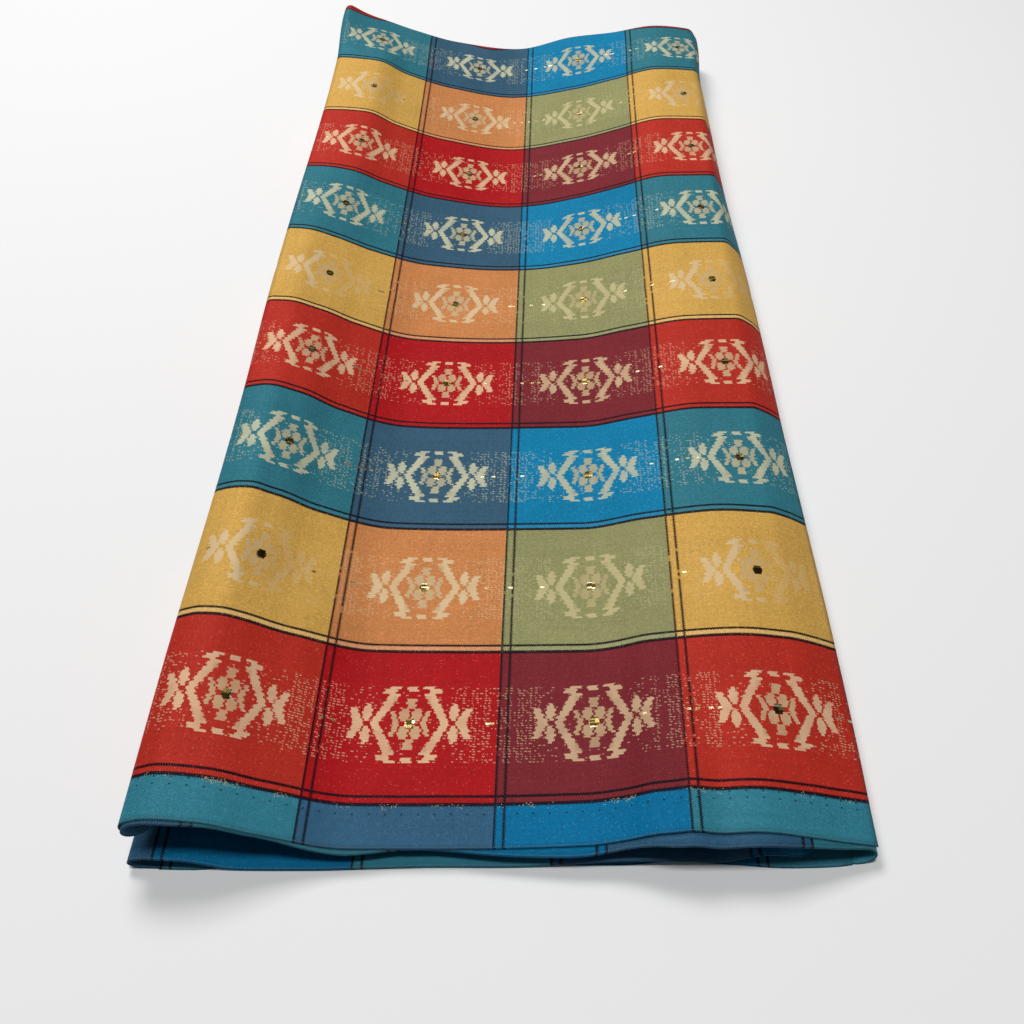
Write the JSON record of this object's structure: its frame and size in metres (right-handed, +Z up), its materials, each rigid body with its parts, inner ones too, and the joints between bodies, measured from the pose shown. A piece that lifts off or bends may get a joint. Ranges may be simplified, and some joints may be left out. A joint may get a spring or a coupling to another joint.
{
  "type": "folded sarong",
  "caption": "Checked woven sarong with a brocaded flower figure in each check, folded into a long strip and doubled over at one end, lying flat.",
  "frame": {"origin": "bottom centre of the folded cloth's box, on the surface it lies on", "axes": "+X across the strip to the right seen from the selvedge end, +Y along the strip to the far fold, +Z up"},
  "size_m": [0.2422, 0.5954, 0.0436],
  "materials": {
    "checked_cloth": "twill-woven cloth in red, yellow and blue checks, soft sheen, brocaded pale figures with gold-thread centres",
    "checked_cloth_folds": "the same cloth's blue selvedge strip and checks, soft sheen",
    "hidden_cloth": "the same cloth, in shade between the folds"
  },
  "bodies": {
    "root": {"top_panel": "checked_cloth", "far_fold": "checked_cloth", "left_fold": "checked_cloth_folds", "second_panel": "checked_cloth_folds", "right_fold": "checked_cloth_folds", "lower_panel": "checked_cloth_folds", "bottom_panel": "checked_cloth_folds", "inner_layers": "hidden_cloth"}
  },
  "joints": []
}
